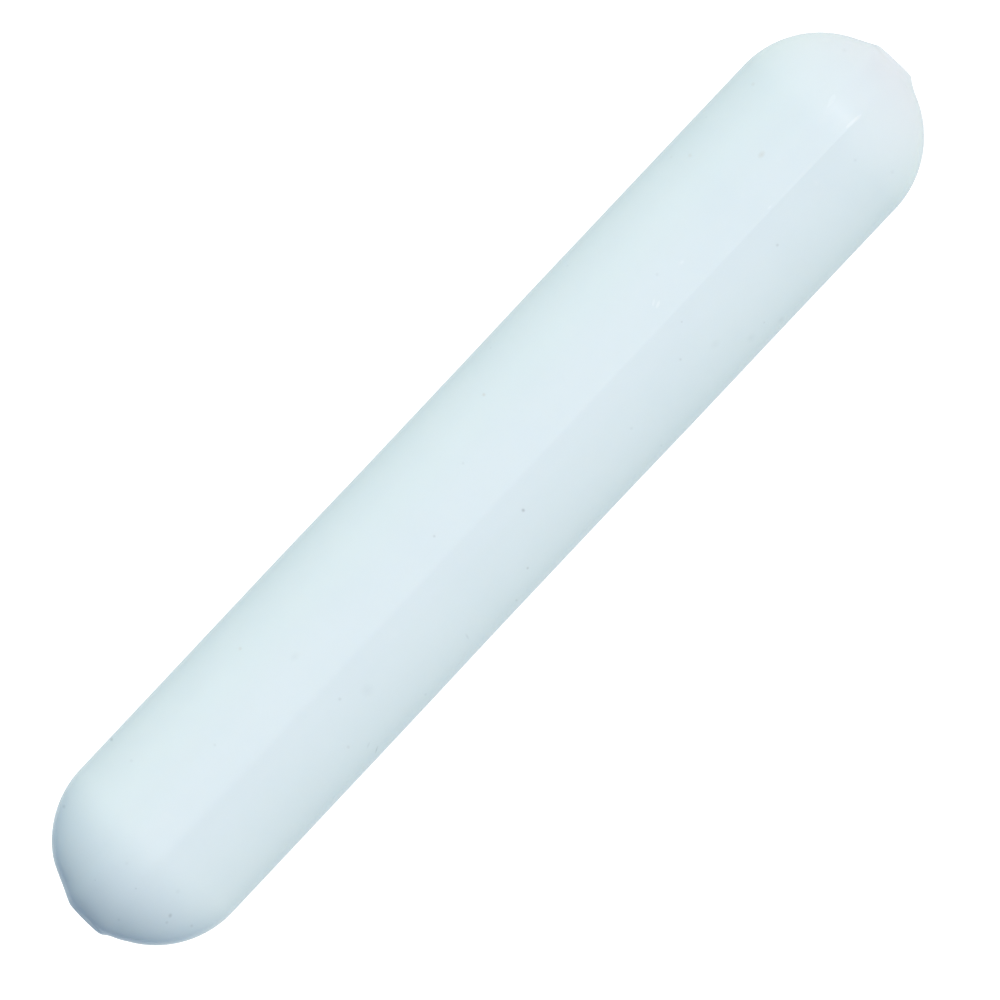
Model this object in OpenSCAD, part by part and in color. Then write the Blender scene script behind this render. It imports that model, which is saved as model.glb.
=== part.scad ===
// Magnetic stir bar: a rod magnet sealed in a white fluoropolymer jacket.
//
// The bar lies along X with its middle over the origin. Z is up, and z = 0 is the flat of the land
// that the bar rests on. The second land is the same flat on top.

/* [Body] */
// Length over the faces of the two end bosses
overall_l = 152; // [60:1:220]
// Diameter of the round body and of its two domes
body_d = 27; // [22:0.5:40]

/* [Lands] */
// Width of the flat on each land
land_w = 4.2; // [2:0.1:7]
// Height of that flat above the crest of the round body
land_rise = 0.15; // [0.05:0.05:0.6]
// Width over which each flank slopes down beside the flat
land_flank_w = 1.7; // [0.6:0.1:2.4]

/* [End bosses] */
// Diameter of the flat on the face of each boss, inside its rounded rim
boss_face_d = 4.8; // [3:0.1:8]
// Height of the face above the apex of the dome
boss_rise = 0.35; // [0.2:0.05:1]
// Radius of the rounded rim
boss_rim_r = 0.5; // [0.2:0.1:1]
// Radius of the hollow foot that runs out on the dome
boss_foot_r = 6; // [3:0.5:10]

/* [Jacket] */
// Thickness of the jacket around the magnet
wall = 3.95; // [2:0.05:6]
// Thickness of the jacket from each end of the magnet to the face of the boss
end_wall = 12.45; // [8:0.05:20]

/* [Magnet] */
// Bevel round each end of the magnet
magnet_bevel = 0.8; // [0.2:0.1:2]
// Gap between the magnet and the jacket, all round
magnet_gap = 0.05; // [0.02:0.01:0.3]

/* [Hidden] */
$fn = 96;

// Depth to which roots and feet are sunk into the round body, so that they cross it cleanly
land_seat = 0.1;
boss_seat = 0.02;

body_r = body_d / 2;
dome_x = overall_l / 2 - boss_rise - body_r;
axis_z = body_r + land_rise;

land_foot = land_w / 2 + land_flank_w;
land_root = sqrt(body_r ^ 2 - land_foot ^ 2) - land_seat;

cavity_d = body_d - 2 * wall;
cavity_l = overall_l - 2 * end_wall;
magnet_d = cavity_d - 2 * magnet_gap;
magnet_l = cavity_l - 2 * magnet_gap;

// The boss is drawn from the centre of its dome, with x outwards from the bar's axis and y along it.
// The foot is an arc that touches the dome and the rounded rim, so its centre lies where two circles cross.
boss_face_y = body_r + boss_rise;
rim_centre = [boss_face_d / 2, boss_face_y - boss_rim_r];
rim_reach = norm(rim_centre);
foot_reach = body_r + boss_foot_r - boss_seat;
rim_to_foot = boss_foot_r + boss_rim_r;
foot_swing = acos((foot_reach ^ 2 + rim_reach ^ 2 - rim_to_foot ^ 2) / (2 * foot_reach * rim_reach));
foot_angle = 90 - atan2(rim_centre.x, rim_centre.y) - foot_swing;
foot_centre = foot_reach * [cos(foot_angle), sin(foot_angle)];
foot_touch = foot_centre * (foot_reach - boss_foot_r) / foot_reach;
rim_touch = rim_centre + (foot_centre - rim_centre) * boss_rim_r / rim_to_foot;

// One land on top of the round section, drawn down to the middle of the bar
module land_section() {
    polygon([
        [-land_foot, 0],
        [-land_foot, land_root],
        [-land_w / 2, axis_z],
        [land_w / 2, axis_z],
        [land_foot, land_root],
        [land_foot, 0],
    ]);
}

// Section across the bar, with y upwards
module bar_section() {
    circle(d = body_d);
    land_section();
    mirror([0, 1]) land_section();
}

// The straight run between the centres of the two domes
module straight_run() {
    rotate([90, 0, 90])
        linear_extrude(height = 2 * dome_x, center = true)
            bar_section();
}

// Half of the section turned over the end, which makes the dome and carries both lands round it
module domed_end() {
    translate([dome_x, 0, 0])
        rotate([90, 0, 0])
            rotate([0, 0, -90])
                rotate_extrude(angle = 180)
                    intersection() {
                        rotate(-90) bar_section();
                        translate([0, -body_d]) square([body_d, 2 * body_d]);
                    }
}

// Half of the boss's profile
module boss_profile() {
    difference() {
        union() {
            square([boss_face_d / 2, boss_face_y]);
            translate(rim_centre) circle(boss_rim_r);
            polygon([[0, 0], foot_touch, rim_touch, rim_centre]);
        }
        translate(foot_centre) circle(boss_foot_r);
    }
}

module end_boss() {
    translate([dome_x, 0, 0])
        rotate([0, 90, 0])
            rotate_extrude()
                boss_profile();
}

// A rod along X with bevelled ends
module rod(d, l, bevel) {
    rotate([0, 90, 0])
        rotate_extrude()
            polygon([
                [0, -l / 2],
                [d / 2 - bevel, -l / 2],
                [d / 2, -l / 2 + bevel],
                [d / 2, l / 2 - bevel],
                [d / 2 - bevel, l / 2],
                [0, l / 2],
            ]);
}

// The fused jacket, with the closed cavity that holds the magnet
module ptfe_jacket() {
    color("#DCEBF2")
        translate([0, 0, axis_z])
            difference() {
                union() {
                    straight_run();
                    for (side = [0, 1]) mirror([side, 0, 0]) {
                        domed_end();
                        end_boss();
                    }
                }
                rod(cavity_d, cavity_l, magnet_bevel);
            }
}

module bar_magnet() {
    color("#6E7073")
        translate([0, 0, axis_z])
            rod(magnet_d, magnet_l, magnet_bevel);
}

ptfe_jacket();
bar_magnet();
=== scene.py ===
# A magnetic stir bar: its moulded white jacket with the two lands and end bosses, the magnet sealed
# inside, a white table and soft studio light. Everything is in metres, in the frame of the solids.
import math

import bmesh
import bpy
from mathutils import Matrix, Vector, noise


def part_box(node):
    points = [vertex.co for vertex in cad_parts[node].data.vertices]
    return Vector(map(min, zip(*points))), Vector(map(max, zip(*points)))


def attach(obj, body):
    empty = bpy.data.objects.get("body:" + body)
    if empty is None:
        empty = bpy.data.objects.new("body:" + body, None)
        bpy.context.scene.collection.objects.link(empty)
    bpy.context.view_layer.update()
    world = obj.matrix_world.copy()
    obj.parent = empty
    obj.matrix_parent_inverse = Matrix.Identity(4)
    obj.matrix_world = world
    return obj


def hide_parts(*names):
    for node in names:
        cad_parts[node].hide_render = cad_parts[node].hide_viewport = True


MM = 0.001
DEGREE = math.radians(1)

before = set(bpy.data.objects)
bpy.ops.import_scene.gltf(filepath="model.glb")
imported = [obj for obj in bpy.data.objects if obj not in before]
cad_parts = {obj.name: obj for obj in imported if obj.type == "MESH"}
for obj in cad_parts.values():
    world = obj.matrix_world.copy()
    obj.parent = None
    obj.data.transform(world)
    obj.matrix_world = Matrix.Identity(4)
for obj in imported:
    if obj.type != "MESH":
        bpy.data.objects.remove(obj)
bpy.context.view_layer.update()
jacket_low, jacket_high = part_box("ptfe_jacket")
magnet_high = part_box("bar_magnet")[1]

# The bar, from its solids
HALF_LENGTH = jacket_high.x
BODY_RADIUS = jacket_high.y
AXIS_HEIGHT = (jacket_low.z + jacket_high.z) / 2
LAND_RISE = AXIS_HEIGHT - BODY_RADIUS
DOME_SHORTFALL = 0.06 * MM
DOME_RADIUS = BODY_RADIUS - DOME_SHORTFALL
BOSS_RISE = 0.25 * MM
DOME_CENTRE = HALF_LENGTH - BOSS_RISE - DOME_RADIUS

# The lands: a flat with one crisp edge, on the -Y side, and one worn edge. Of a pair, the first value
# is for the left end, at -X, and the second for the right end.
LAND_EDGE_CRISP = 1.95 * MM
LAND_EDGE_WORN = 2.3 * MM
LAND_CRISP_BLEND = (0.3 * MM, 0.04 * MM)
LAND_WORN_BLEND = 0.5 * MM
LAND_CRISP_FLANK = (21 * DEGREE, 26 * DEGREE)
LAND_CRISP_FLANK_AT_MIDDLE = 18 * DEGREE
LAND_WORN_FLANK = (24 * DEGREE, 27 * DEGREE)
LAND_WORN_FLANK_AT_MIDDLE = 18 * DEGREE
LAND_FOOT_BLEND = (0.05 * MM, 0.25 * MM)
LAND_SUNK_WITHIN = 0.5 * DOME_CENTRE
LAND_SINK_AT_MIDDLE = 0.079 * MM
LAND_TILT_AT_MIDDLE = 3.4 * DEGREE
LAND_DROP_AT_TIPS = 0.06 * MM
LAND_LIP_RISE = 0.008 * MM
LAND_LIP_WIDTH = 0.25 * MM
LAND_LIP_INSET = 0.12 * MM
LAND_DOME_BLEND = 0.5 * MM
LAND_CRISP_UP_TO = 70 * DEGREE
LAND_SOFT_FROM = 55 * DEGREE
LAND_FLARE = 0.45 * MM
LAND_FLARE_STARTS = 42 * DEGREE
LAND_FLARE_ENDS = 16 * DEGREE
FLANK_OUT_OF_REACH = -80 * DEGREE

# The end bosses, the right one under 1 and the worn left one under -1
BOSS_FACE_RADIUS = {1: 2.9 * MM, -1: 2.8 * MM}
BOSS_FLANK_ANGLE = 36 * DEGREE
BOSS_OFF_CENTRE = 0.42 * MM
BOSS_FOOT_BLEND = {1: 0.3 * MM, -1: 0.15 * MM}
BOSS_RIM_CRISP = 0.06 * MM
BOSS_RIM_WORN = 0.35 * MM
WORN_BOSS_SUNK = 0.07 * MM
WORN_BOSS_TILT = 1.5 * DEGREE
WORN_END_HOLLOW = 0.25 * MM
WORN_END_HOLLOW_ANGLE = 22 * DEGREE
WORN_END_HOLLOW_WIDTH = 12 * DEGREE

# Moulding is never quite true: the bar is a hair thinner at its middle, bows a little, and wavers. The
# taper of a dome and the drop of its lands are complete where the sine of its turn is DOME_LEAN.
DOME_LEAN = 0.5
DOME_TAPER = 0.03 * MM
WAIST_DEPTH = 0.07 * MM
WAIST_STARTS = 9 * MM
WAIST_ENDS = 26 * MM
BOW_DEPTH = 0.06 * MM
WAVER_DEPTH = 0.04 * MM
WAVER_LENGTH = 17 * MM

# Mesh spacing
FINE_ANGLE = 22 * DEGREE
FINE_STEPS = 110
COARSE_STEPS = 34
RUN_STEPS = 42
BOSS_REACH = FINE_ANGLE * 1.5
MERGE_WITHIN = 0.001 * MM
SHARP_FROM = 40 * DEGREE

# The cavity round the magnet
MAGNET_GAP = 0.05 * MM
MAGNET_BEVEL = 0.8 * MM
CAVITY_SIDES = 96


def smooth_step(low, high, value):
    """From 0 at the low value to 1 at the high one, easing in and out."""
    share = min(max((value - low) / (high - low), 0.0), 1.0)
    return share * share * (3 - 2 * share)


def soft_min(a, b, blend):
    """The smaller of two values, rounded off where they are less than the blend apart."""
    overlap = max(blend - abs(a - b), 0.0) / blend
    return min(a, b) - overlap * overlap * blend / 4


def soft_max(a, b, blend):
    return -soft_min(-a, -b, blend)


def line_radius(distance, tilt):
    """Distance from a centre to a straight line, seen at an angle from the line's own normal."""
    return distance / math.cos(tilt)


def flank_radius(distance, tilt):
    """The same for a sloping flank, which falls away past its own normal."""
    return line_radius(distance, tilt) if tilt < 0 else distance * math.cos(tilt)


def between(pair, share):
    """From the first value of a pair at a share of 0 to the second at 1."""
    return pair[0] + (pair[1] - pair[0]) * share


def land_radius(direction, end_angle, along):
    """Distance from the bar's spine to the land in one direction, before it sinks into the round."""
    across = math.asin(direction.y)
    flare = LAND_FLARE * smooth_step(LAND_FLARE_STARTS, LAND_FLARE_ENDS, end_angle)
    fullness = 1.0
    rise = LAND_RISE
    lean = 0.0
    lip_rise = 0.0
    if direction.z > 0:
        fullness = smooth_step(LAND_SUNK_WITHIN, DOME_CENTRE, abs(along))
        rise = between((-LAND_SINK_AT_MIDDLE, LAND_RISE - LAND_LIP_RISE), fullness)
        lean = LAND_TILT_AT_MIDDLE * (1 - fullness)
        lip_rise = LAND_LIP_RISE * smooth_step(0, DOME_CENTRE, along)
    flat = BODY_RADIUS + rise - LAND_DROP_AT_TIPS * smooth_step(0, DOME_LEAN, abs(direction.x))
    radius = line_radius(flat, across - lean)
    rightness = smooth_step(-DOME_CENTRE, DOME_CENTRE, along)
    crisp_slope = between((LAND_CRISP_FLANK_AT_MIDDLE, between(LAND_CRISP_FLANK, rightness)), fullness)
    worn_slope = between((LAND_WORN_FLANK_AT_MIDDLE, between(LAND_WORN_FLANK, rightness)), fullness)
    softness = smooth_step(LAND_CRISP_UP_TO, LAND_SOFT_FROM, end_angle)
    crisp_blend = between(LAND_CRISP_BLEND, math.sqrt(rightness))
    crisp_blend += LAND_DOME_BLEND * softness * rightness
    edges = (
        (1, LAND_EDGE_WORN + flare, worn_slope, LAND_WORN_BLEND),
        (-1, LAND_EDGE_CRISP + flare, crisp_slope, crisp_blend),
    )
    for side, edge, slope, blend in edges:
        height = flat / math.cos(lean) - side * edge * math.tan(lean)
        reach = height * math.cos(slope) + edge * math.sin(slope)
        tilt = side * across - slope
        if tilt > FLANK_OUT_OF_REACH:
            radius = soft_min(radius, flank_radius(reach, tilt), blend)
    off_lip = (radius * direction.y + LAND_EDGE_CRISP + flare - LAND_LIP_INSET) / LAND_LIP_WIDTH
    return radius + lip_rise * (1 - softness) * math.exp(-off_lip * off_lip)


def boss_face_radius(direction, end):
    """Distance from the centre of a dome to the plane of its boss's face in one direction."""
    if end > 0:
        return (DOME_RADIUS + BOSS_RISE) / direction.x
    lean = direction.y * math.tan(WORN_BOSS_TILT) - direction.x
    return (DOME_RADIUS + BOSS_RISE - WORN_BOSS_SUNK) / lean


def boss_radius(direction, end):
    """Distance from the centre of a dome to its boss in one direction, before it sinks into the dome."""
    off_axis = math.hypot(direction.y + BOSS_OFF_CENTRE / DOME_RADIUS, direction.z)
    flank = math.asin(min(off_axis, 1.0)) - BOSS_FLANK_ANGLE
    face = DOME_RADIUS + BOSS_RISE
    rim = BOSS_RIM_CRISP
    if end < 0:
        face -= WORN_BOSS_SUNK
        rim = BOSS_RIM_WORN
    reach = face * math.cos(BOSS_FLANK_ANGLE) + BOSS_FACE_RADIUS[end] * math.sin(BOSS_FLANK_ANGLE)
    return soft_min(boss_face_radius(direction, end), flank_radius(reach, flank), rim)


def worn_end_hollow(direction, end_angle):
    """Depth of the hollow round the foot of the left boss, on its +Y side."""
    off_hollow = (end_angle - WORN_END_HOLLOW_ANGLE) / WORN_END_HOLLOW_WIDTH
    side = direction.y / math.hypot(direction.y, direction.z)
    return WORN_END_HOLLOW * math.exp(-off_hollow * off_hollow) * smooth_step(0, 1, side)


def jacket_point(point):
    """Moves a point of the plain round bar out to the moulded form."""
    along = min(max(point.x, -DOME_CENTRE), DOME_CENTRE)
    spine = Vector((along, 0, AXIS_HEIGHT))
    direction = (point - spine).normalized()
    waist = WAIST_DEPTH * (1 - smooth_step(WAIST_STARTS, WAIST_ENDS, abs(along)))
    taper = DOME_TAPER * smooth_step(0, DOME_LEAN, abs(direction.x))
    waver = WAVER_DEPTH * (0.5 + 0.5 * noise.noise(point / WAVER_LENGTH))
    radius = BODY_RADIUS - BOW_DEPTH / 2 - waist - taper - waver
    end_angle = math.acos(min(abs(direction.x), 1.0))
    foot_blend = LAND_FOOT_BLEND[0]
    if direction.z > 0:
        foot_blend = between(LAND_FOOT_BLEND, smooth_step(0, DOME_CENTRE, along))
    radius = soft_max(radius, land_radius(direction, end_angle, point.x), foot_blend)
    if point.x < -DOME_CENTRE:
        radius -= worn_end_hollow(direction, end_angle)
    if end_angle < BOSS_REACH:
        end = int(math.copysign(1, point.x))
        radius = soft_max(radius, boss_radius(direction, end), BOSS_FOOT_BLEND[end])
        radius = min(radius, boss_face_radius(direction, end))
    bow = BOW_DEPTH * (0.5 - (along / DOME_CENTRE) ** 2)
    return spine + direction * radius + Vector((0, bow, 0))


def spaced_angles():
    """Angles across the bar, close together over the land and wider down the sides."""
    fine = [FINE_ANGLE * (2 * i / FINE_STEPS - 1) for i in range(FINE_STEPS + 1)]
    rest = math.pi / 2 - FINE_ANGLE
    side = [FINE_ANGLE + rest * i / COARSE_STEPS for i in range(1, COARSE_STEPS + 1)]
    return [-angle for angle in reversed(side)] + fine + side


def sweep_straight(bm, section, distance):
    """Carries the section along the bar."""
    made = bmesh.ops.spin(
        bm, geom=section, dvec=Vector((distance / RUN_STEPS, 0, 0)), angle=0, steps=RUN_STEPS
    )
    return made["geom_last"]


def turn_over_end(bm, section, end):
    """Carries the section round one dome, in close steps over the boss."""
    coarse = (math.pi / 2 - FINE_ANGLE, COARSE_STEPS)
    fine = (2 * FINE_ANGLE, FINE_STEPS)
    for turn, steps in (coarse, fine, coarse):
        made = bmesh.ops.spin(
            bm,
            geom=section,
            cent=(end * DOME_CENTRE, 0, AXIS_HEIGHT),
            axis=(0, 1, 0),
            angle=turn,
            steps=steps,
        )
        section = made["geom_last"]
    return section


def jacket_skin(bm):
    """The outside: half a round section, swept along the top, over one end, back below and up again."""
    points = [
        bm.verts.new((-DOME_CENTRE, BODY_RADIUS * math.sin(a), AXIS_HEIGHT + BODY_RADIUS * math.cos(a)))
        for a in spaced_angles()
    ]
    section = points + [bm.edges.new(pair) for pair in zip(points, points[1:])]
    section = sweep_straight(bm, section, 2 * DOME_CENTRE)
    section = turn_over_end(bm, section, 1)
    section = sweep_straight(bm, section, -2 * DOME_CENTRE)
    turn_over_end(bm, section, -1)
    bmesh.ops.remove_doubles(bm, verts=bm.verts[:], dist=MERGE_WITHIN)
    bmesh.ops.recalc_face_normals(bm, faces=bm.faces[:])
    for vert in bm.verts:
        vert.co = jacket_point(vert.co)


def cavity_skin(bm):
    """The closed cavity that the magnet fills, facing inwards."""
    radius = magnet_high.y + MAGNET_GAP
    half = magnet_high.x + MAGNET_GAP
    outline = ((-half, 0), (-half, radius - MAGNET_BEVEL), (-half + MAGNET_BEVEL, radius))
    outline += tuple((-x, r) for x, r in reversed(outline))
    points = [bm.verts.new((x, 0, AXIS_HEIGHT + r)) for x, r in outline]
    profile = points + [bm.edges.new(pair) for pair in zip(points, points[1:])]
    bmesh.ops.spin(
        bm,
        geom=profile,
        cent=(0, 0, AXIS_HEIGHT),
        axis=(1, 0, 0),
        angle=math.tau,
        steps=CAVITY_SIDES,
        use_merge=True,
    )
    bmesh.ops.remove_doubles(bm, verts=bm.verts[:], dist=MERGE_WITHIN)
    bmesh.ops.recalc_face_normals(bm, faces=bm.faces[:])
    bmesh.ops.reverse_faces(bm, faces=bm.faces[:])


def new_piece(name, *builders):
    """One object from several closed skins, smooth but for its true corners."""
    mesh = bpy.data.meshes.new(name)
    whole = bmesh.new()
    for builder in builders:
        part = bmesh.new()
        builder(part)
        part.to_mesh(mesh)
        part.free()
        whole.from_mesh(mesh)
    whole.to_mesh(mesh)
    whole.free()
    mesh.shade_smooth()
    mesh.set_sharp_from_angle(angle=SHARP_FROM)
    piece = bpy.data.objects.new(name, mesh)
    bpy.context.scene.collection.objects.link(piece)
    return piece


# Finishes. The mix node's colour sockets go by number, because others share their names.
MIX_UNDER = 6
MIX_OVER = 7
MIX_RESULT = 2
CLOUD_ROUGHNESS = 0.55
CLOUD_SPREAD = (0.3, 0.7)


def add_node(tree, kind, inputs=None, **settings):
    """One shader node, with its settings, and its inputs set or linked."""
    made = tree.nodes.new(kind)
    for name, value in settings.items():
        setattr(made, name, value)
    for name, value in (inputs or {}).items():
        if isinstance(value, bpy.types.NodeSocket):
            tree.links.new(value, made.inputs[name])
        else:
            made.inputs[name].default_value = value
    return made


def new_finish(name):
    """A new material, with its node tree and its shader."""
    material = bpy.data.materials.new(name)
    material.use_nodes = True
    tree = material.node_tree
    return material, tree, tree.nodes["Principled BSDF"]


def noise_between(tree, place, scale, low, high, detail=3.0):
    """Cloudy variation between two values, with features of about 1 / scale metres."""
    cloud = add_node(
        tree,
        "ShaderNodeTexNoise",
        {"Vector": place, "Scale": scale, "Detail": detail, "Roughness": CLOUD_ROUGHNESS},
    )
    spread = add_node(
        tree,
        "ShaderNodeMapRange",
        {
            "Value": cloud.outputs["Fac"],
            "From Min": CLOUD_SPREAD[0],
            "From Max": CLOUD_SPREAD[1],
            "To Min": low,
            "To Max": high,
        },
    )
    return spread.outputs["Result"]


def skin_height(x, y):
    """How high the jacket's upper side is at a place seen from above."""
    beyond = max(abs(x) - DOME_CENTRE, 0.0)
    return AXIS_HEIGHT + math.sqrt(max(BODY_RADIUS**2 - y**2 - beyond**2, 0.0))


def raised(tree, height, distance, under=None):
    """The normal of a surface that a pattern raises, over an earlier normal where there is one."""
    inputs = {"Height": height, "Strength": 1.0, "Distance": distance}
    if under is not None:
        inputs["Normal"] = under
    return add_node(tree, "ShaderNodeBump", inputs).outputs["Normal"]


def mark_mask(tree, place, marks):
    """The sum of the strengths of soft-edged oval marks."""
    total = 0.0
    for x, y, length, width, turn, strength in marks:
        x, y = x * MM, y * MM
        oval = add_node(
            tree,
            "ShaderNodeMapping",
            {
                "Vector": place,
                "Location": (x, y, skin_height(x, y)),
                "Rotation": (0, 0, turn * DEGREE),
                "Scale": (length * MM, width * MM, MARK_REACH),
            },
            vector_type="TEXTURE",
        )
        fade = add_node(
            tree, "ShaderNodeTexGradient", {"Vector": oval.outputs["Vector"]}, gradient_type="SPHERICAL"
        )
        total = add_node(
            tree,
            "ShaderNodeMath",
            {0: fade.outputs["Fac"], 1: strength, 2: total},
            operation="MULTIPLY_ADD",
        ).outputs["Value"]
    return total


def blend_colour(tree, mask, under, over):
    """One colour where the mask is 0 and another where it is 1."""
    mixed = add_node(
        tree, "ShaderNodeMix", {"Factor": mask, MIX_UNDER: under, MIX_OVER: over}, data_type="RGBA"
    )
    return mixed.outputs[MIX_RESULT]


# Handling marks and a few painted highlights, each (x, y, half length, half width, turn in degrees,
# strength), in millimetres.
# A mark reaches this far up and down, so that it takes in the skin's height and leaves the underside.
MARK_REACH = 4 * MM
DARK_SPECKS = (
    (-56.6, 13.1, 0.3, 0.3, 0, 0.35),
    (-67.0, 11.6, 0.3, 0.3, 0, 0.18),
    (1.1, -5.2, 0.3, 0.32, 0, 0.4),
    (48.0, -5.6, 0.28, 0.25, 0, 0.2),
    (-9.1, 0.8, 0.25, 0.25, 0, 0.2),
    (-67.6, -7.9, 0.4, 0.3, 15, 0.28),
    (-32.5, -4.7, 0.3, 0.3, 0, 0.15),
    (-36.3, -9.7, 0.3, 0.3, 0, 0.13),
    (-68.6, -8.2, 0.3, 0.25, 0, 0.16),
    (-66.8, -10.8, 0.3, 0.25, 0, 0.17),
    (62.7, -5.4, 0.3, 0.28, 0, 0.09),
    (65.0, -9.9, 0.35, 0.3, 0, 0.07),
    (-64.6, -6.5, 0.45, 0.35, 0, 0.06),
    (-56.6, 9.3, 0.3, 0.3, 0, 0.08),
    (72.2, 5.3, 0.4, 0.4, 0, 0.06),
    (-47.7, 2.9, 0.25, 0.25, 0, 0.1),
    (34.7, 3.0, 0.3, 0.3, 0, 0.08),
    (-66.4, 0.7, 0.35, 0.3, 0, 0.06),
    (-3.9, -10.7, 0.25, 0.2, 0, 0.25),
    (-7.9, -12.5, 0.25, 0.2, 0, 0.18),
    (28.9, -6.6, 0.25, 0.25, 0, 0.15),
    (-72.6, -3.5, 0.25, 0.25, 0, 0.12),
    (-24.7, -12.3, 0.3, 0.2, 0, 0.12),
    (0.2, 4.5, 0.25, 0.25, 0, 0.1),
    (18.2, -8.1, 0.3, 0.25, 0, 0.1),
    (19.3, -12.4, 0.25, 0.2, 0, 0.1),
)
SCRATCHES = (
    (-34.2, -12.6, 0.7, 0.12, 25, 0.28),
    (-34.4, -11.4, 0.6, 0.15, 20, 0.12),
    (-15.6, -11.1, 0.2, 0.6, -20, 0.12),
)
SMUDGES = (
    (-29.3, -6.5, 1.1, 1.0, 0, 0.05),
    (33.4, -8.5, 0.9, 0.6, 0, 0.05),
    (37.2, -11.3, 0.8, 0.6, 0, 0.05),
    (41.6, -12.6, 0.7, 0.4, 0, 0.1),
    (-32.5, 3.2, 0.9, 0.6, 0, 0.05),
)
BROWN_SPOTS = (
    (55.0, 3.8, 0.7, 0.45, 0, 0.22),
    (-36.6, 9.0, 0.3, 0.3, 0, 0.2),
    (8.4, 8.6, 0.3, 0.3, 0, 0.3),
    (61.0, 10.8, 0.35, 0.3, 0, 0.15),
    (48.8, 10.4, 0.35, 0.35, 0, 0.15),
)
# Whitened marks: the first five are scuffs; the line along the crisp edge and the four at the right
# dome's start are painted highlights.
SCUFFS_AND_PAINTED_HIGHLIGHTS = (
    (31.8, 0.9, 0.8, 0.22, 30, 0.2),
    (32.0, 0.3, 0.7, 0.25, 20, 0.3),
    (38.0, 1.8, 0.7, 0.4, 0, 0.14),
    (49.6, 1.9, 0.5, 1.0, 0, 0.05),
    (57.2, -3.7, 0.6, 0.6, 0, 0.09),
    # Painted highlight: a bright line along the crisp edge of the land.
    (58.0, -1.72, 8.0, 0.3, 0, 0.07),
    # A bright speck on the crisp edge.
    (50.8, -1.55, 0.5, 0.25, 0, 0.14),
    # Painted highlights: the key lamp's glint where the land starts to turn over the right dome.
    (66.2, -1.85, 1.7, 0.3, -6, 0.4),
    (65.8, 1.95, 1.8, 0.5, 10, 0.1),
    (65.6, 1.2, 1.8, 0.35, 5, 0.05),
    (63.4, 1.2, 1.4, 0.7, 15, 0.02),
)

MILKY_WHITE = (0.79, 0.873, 0.902, 1)
MILKY_SHADE = (0.77, 0.858, 0.892, 1)
SOOT_GREY = (0.12, 0.14, 0.16, 1)
RUST_BROWN = (0.5, 0.42, 0.33, 1)
# The white of the scuffs, and of the painted highlights near the right end
SCUFF_AND_HIGHLIGHT_WHITE = (0.95, 0.97, 0.98, 1)
SCUFF_DULLING = 0.3

# Patterns have features of about 1 / scale metres
MILKY_CLOUD_SCALE = 70
DUST_SCALE = 170
DUST_SIZE = 0.03
DUST_CORE = 0.018
DUST_STRENGTH = 0.12
SHEEN_SCALE = 260
SHEEN_ROUGHNESS = (0.23, 0.27)
WAVE_SCALE = 180
WAVE_HEIGHT = 0.003 * MM
SKIN_GRAIN_SCALE = 1400
SKIN_GRAIN_HEIGHT = 0.0004 * MM
JACKET_IOR = 1.37
MILKINESS = 0.4
MILKY_SPREAD = (0.9, 1.0, 1.1)
MILKY_DEPTH = 0.5 * MM


def jacket_finish():
    """Moulded and sintered fluoropolymer: milky, waxy and a little see-through, with handling marks and
    painted highlights near its right end.
    """
    material, tree, shader = new_finish("waxy_white_fluoropolymer")
    place = add_node(tree, "ShaderNodeTexCoord").outputs["Object"]

    clouds = noise_between(tree, place, MILKY_CLOUD_SCALE, 0.0, 1.0)
    colour = blend_colour(tree, clouds, MILKY_WHITE, MILKY_SHADE)
    dust = add_node(
        tree,
        "ShaderNodeTexVoronoi",
        {"Vector": place, "Scale": DUST_SCALE, "Randomness": 1.0},
        feature="F1",
    )
    grains = add_node(
        tree,
        "ShaderNodeMapRange",
        {
            "Value": dust.outputs["Distance"],
            "From Min": DUST_SIZE,
            "From Max": DUST_CORE,
            "To Min": 0.0,
            "To Max": DUST_STRENGTH,
        },
    )
    colour = blend_colour(tree, grains.outputs["Result"], colour, SOOT_GREY)
    colour = blend_colour(tree, mark_mask(tree, place, SMUDGES), colour, SOOT_GREY)
    colour = blend_colour(tree, mark_mask(tree, place, DARK_SPECKS + SCRATCHES), colour, SOOT_GREY)
    colour = blend_colour(tree, mark_mask(tree, place, BROWN_SPOTS), colour, RUST_BROWN)
    # Scuffs and painted highlights whiten the colour, and they dull the gloss
    scuffs_and_highlights = mark_mask(tree, place, SCUFFS_AND_PAINTED_HIGHLIGHTS)
    colour = blend_colour(tree, scuffs_and_highlights, colour, SCUFF_AND_HIGHLIGHT_WHITE)
    tree.links.new(colour, shader.inputs["Base Color"])

    sheen = noise_between(tree, place, SHEEN_SCALE, *SHEEN_ROUGHNESS)
    roughness = add_node(
        tree, "ShaderNodeMath", {0: scuffs_and_highlights, 1: SCUFF_DULLING, 2: sheen}, operation="MULTIPLY_ADD"
    )
    tree.links.new(roughness.outputs["Value"], shader.inputs["Roughness"])

    waves = noise_between(tree, place, WAVE_SCALE, 0.0, 1.0, detail=2.0)
    grain = noise_between(tree, place, SKIN_GRAIN_SCALE, 0.0, 1.0, detail=4.0)
    wavy = raised(tree, waves, WAVE_HEIGHT)
    skin = raised(tree, grain, SKIN_GRAIN_HEIGHT, wavy)
    tree.links.new(skin, shader.inputs["Normal"])

    shader.inputs["IOR"].default_value = JACKET_IOR
    shader.inputs["Subsurface Weight"].default_value = MILKINESS
    shader.inputs["Subsurface Radius"].default_value = MILKY_SPREAD
    shader.inputs["Subsurface Scale"].default_value = MILKY_DEPTH
    return material


ALLOY_GREY = (0.24, 0.24, 0.25, 1)
ALLOY_DARK = (0.15, 0.145, 0.14, 1)
ALLOY_METALLIC = 0.85
ALLOY_PATCH_SCALE = 150
ALLOY_SHEEN_SCALE = 500
ALLOY_ROUGHNESS = (0.5, 0.72)
ALLOY_GRAIN_SCALE = 1800
ALLOY_GRAIN_HEIGHT = 0.04 * MM


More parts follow.
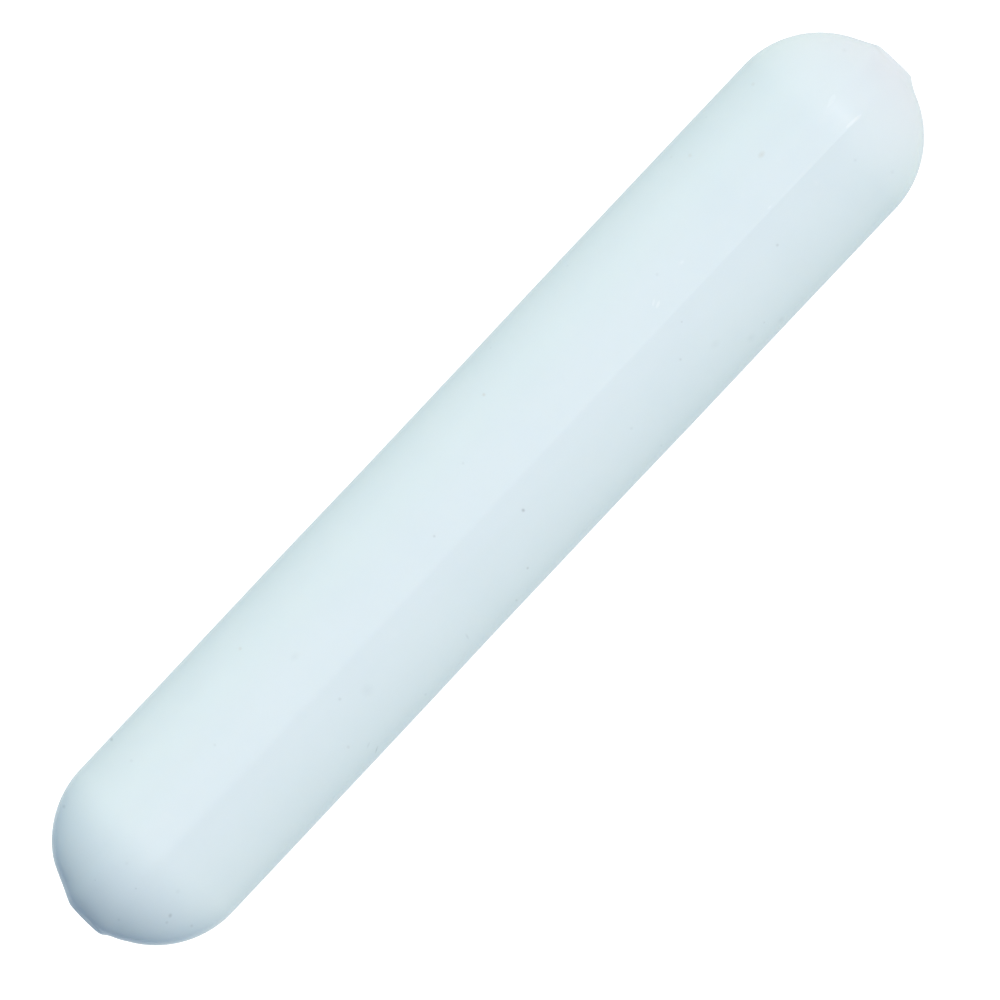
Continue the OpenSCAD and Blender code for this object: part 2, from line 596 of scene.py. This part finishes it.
def magnet_finish():
    """Cast magnet alloy: dull grey metal with the grain of its mould and a few darker patches."""
    material, tree, shader = new_finish("cast_magnet_alloy")
    place = add_node(tree, "ShaderNodeTexCoord").outputs["Object"]
    patches = noise_between(tree, place, ALLOY_PATCH_SCALE, 0.0, 1.0)
    colour = blend_colour(tree, patches, ALLOY_GREY, ALLOY_DARK)
    tree.links.new(colour, shader.inputs["Base Color"])
    sheen = noise_between(tree, place, ALLOY_SHEEN_SCALE, *ALLOY_ROUGHNESS)
    tree.links.new(sheen, shader.inputs["Roughness"])
    grain = noise_between(tree, place, ALLOY_GRAIN_SCALE, 0.0, 1.0, detail=5.0)
    tree.links.new(raised(tree, grain, ALLOY_GRAIN_HEIGHT), shader.inputs["Normal"])
    shader.inputs["Metallic"].default_value = ALLOY_METALLIC
    return material


# The stage: a white table that throws no light at the bar, so that the tent and the lamps shade it alone
FLOOR_SIZE = 4.0
TABLE_GREY = (0.3, 0.3, 0.3, 1)
TABLE_WHITE = (1, 1, 1, 1)
TABLE_ROUGHNESS = 0.9


def floor_finish():
    """A table that is lit evenly from below, so that it shows pure white all over."""
    material, tree, shader = new_finish("white_table")
    shader.inputs["Base Color"].default_value = TABLE_GREY
    shader.inputs["Roughness"].default_value = TABLE_ROUGHNESS
    shader.inputs["Specular IOR Level"].default_value = 0.0
    shader.inputs["Emission Color"].default_value = TABLE_WHITE
    shader.inputs["Emission Strength"].default_value = 1.0
    return material


jacket = new_piece("jacket", jacket_skin, cavity_skin)
jacket.data.materials.append(jacket_finish())
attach(jacket, "root")
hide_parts("ptfe_jacket")

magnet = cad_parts["bar_magnet"]
magnet.data.materials.clear()
magnet.data.materials.append(magnet_finish())


def white_table():
    """The table top, level with the bar's lower land."""
    mesh = bpy.data.meshes.new("floor")
    bm = bmesh.new()
    bmesh.ops.create_grid(bm, x_segments=1, y_segments=1, size=FLOOR_SIZE / 2)
    bm.to_mesh(mesh)
    bm.free()
    mesh.materials.append(floor_finish())
    floor = bpy.data.objects.new("floor", mesh)
    floor.visible_diffuse = False
    floor.visible_glossy = False
    floor.visible_shadow = False
    bpy.context.scene.collection.objects.link(floor)


# The camera looks straight down on the bar, which runs from the lower left to the upper right
IMAGE_SIDE = 1000
BAR_ANGLE = 46.7 * DEGREE
BAR_LENGTH_PX = 1180.6
BAR_CENTRE_PX = (487.8, 488.7)
CAMERA_HEIGHT = 1.5
CAMERA_NEAR = 0.01
CAMERA_FAR = 20


def image_direction(right, up):
    """A direction in the camera's view, as a direction on the floor."""
    return Matrix.Rotation(-BAR_ANGLE, 3, "Z") @ Vector((right, up, 0))


def overhead_camera():
    per_px = 2 * HALF_LENGTH / BAR_LENGTH_PX
    middle = IMAGE_SIDE / 2
    shift = image_direction(middle - BAR_CENTRE_PX[0], BAR_CENTRE_PX[1] - middle) * per_px
    data = bpy.data.cameras.new("camera")
    data.lens = CAMERA_HEIGHT * data.sensor_width / (IMAGE_SIDE * per_px)
    data.clip_start = CAMERA_NEAR
    data.clip_end = CAMERA_FAR
    camera = bpy.data.objects.new("camera", data)
    camera.location = shift + Vector((0, 0, AXIS_HEIGHT + CAMERA_HEIGHT))
    camera.rotation_euler = (0, 0, -BAR_ANGLE)
    bpy.context.scene.collection.objects.link(camera)
    bpy.context.scene.camera = camera


def soft_box(name, bearing, rise, width, height, watts, colour):
    """A lamp a metre off that faces the bar, by its bearing in the view and its rise off the floor."""
    flat = image_direction(math.cos(bearing), math.sin(bearing)) * math.cos(rise)
    aim = Vector((flat.x, flat.y, math.sin(rise)))
    data = bpy.data.lights.new(name, "AREA")
    data.shape = "RECTANGLE"
    data.size = width
    data.size_y = height
    data.energy = watts
    data.color = colour
    lamp = bpy.data.objects.new(name, data)
    lamp.location = aim
    lamp.rotation_euler = aim.to_track_quat("Z", "Y").to_euler()
    lamp.visible_camera = False
    bpy.context.scene.collection.objects.link(lamp)


# The tent's colours, from the side of the bar's left end to that of its right end
TENT_RISE = 20 * DEGREE
TENT_STRENGTH = 1.14
TENT_COLOURS = (
    (0.0, (0.04, 0.03, 0, 1)),
    (0.2, (0.01, 0.09, 0.32, 1)),
    (0.45, (0.7, 0.83, 0.77, 1)),
    (0.8, (1.0, 0.91, 0.91, 1)),
    (1.0, (0.35, 0.4, 0.48, 1)),
)

# The light that the table sends up, which fills the part of the tent straight below
TABLE_GLOW = (0.66, 0.73, 0.76, 1)
TABLE_GLOW_STARTS = 0.82
TABLE_GLOW_ENDS = 0.97


def light_tent():
    """Soft light from all round, dark towards the bar's left end and a little pink towards the right."""
    world = bpy.data.worlds.new("light_tent")
    world.use_nodes = True
    tree = world.node_tree
    outward = add_node(tree, "ShaderNodeTexCoord").outputs["Generated"]
    toward = add_node(
        tree,
        "ShaderNodeVectorMath",
        {0: outward, 1: (math.cos(TENT_RISE), 0, math.sin(TENT_RISE))},
        operation="DOT_PRODUCT",
    )
    share = add_node(
        tree,
        "ShaderNodeMath",
        {0: toward.outputs["Value"], 1: 0.5, 2: 0.5},
        operation="MULTIPLY_ADD",
    )
    ramp = add_node(tree, "ShaderNodeValToRGB", {"Fac": share.outputs["Value"]})
    stops = ramp.color_ramp.elements
    while len(stops) < len(TENT_COLOURS):
        stops.new(0.5)
    for stop, (position, colour) in zip(stops, TENT_COLOURS):
        stop.position = position
        stop.color = colour
    downward = add_node(
        tree, "ShaderNodeVectorMath", {0: outward, 1: (0, 0, -1)}, operation="DOT_PRODUCT"
    )
    underneath = add_node(
        tree,
        "ShaderNodeMapRange",
        {
            "Value": downward.outputs["Value"],
            "From Min": TABLE_GLOW_STARTS,
            "From Max": TABLE_GLOW_ENDS,
        },
        interpolation_type="SMOOTHSTEP",
    )
    glow = blend_colour(tree, underneath.outputs["Result"], ramp.outputs["Color"], TABLE_GLOW)
    background = tree.nodes["Background"]
    tree.links.new(glow, background.inputs["Color"])
    background.inputs["Strength"].default_value = TENT_STRENGTH
    bpy.context.scene.world = world


# Each lamp's name, bearing and rise in degrees, width, height, watts and colour
SOFT_BOXES = (
    ("upper_left_strip", 137, 25, 1.0, 0.6, 1.04, (0.64, 1.0, 0.6)),
    ("lower_right_strip", 317, 25, 1.0, 0.6, 0.35, (0.4, 1.0, 0.3)),
    ("overhead", 90, 88, 1.0, 1.0, 1.63, (0.95, 0.81, 1.0)),
    ("key", 52, 53, 0.08, 0.08, 0.42, (1.0, 0.95, 0.95)),
)


def studio():
    bpy.context.scene.view_settings.view_transform = "Standard"
    light_tent()
    for name, bearing, rise, width, height, watts, colour in SOFT_BOXES:
        soft_box(name, bearing * DEGREE, rise * DEGREE, width, height, watts, colour)


white_table()
overhead_camera()
studio()
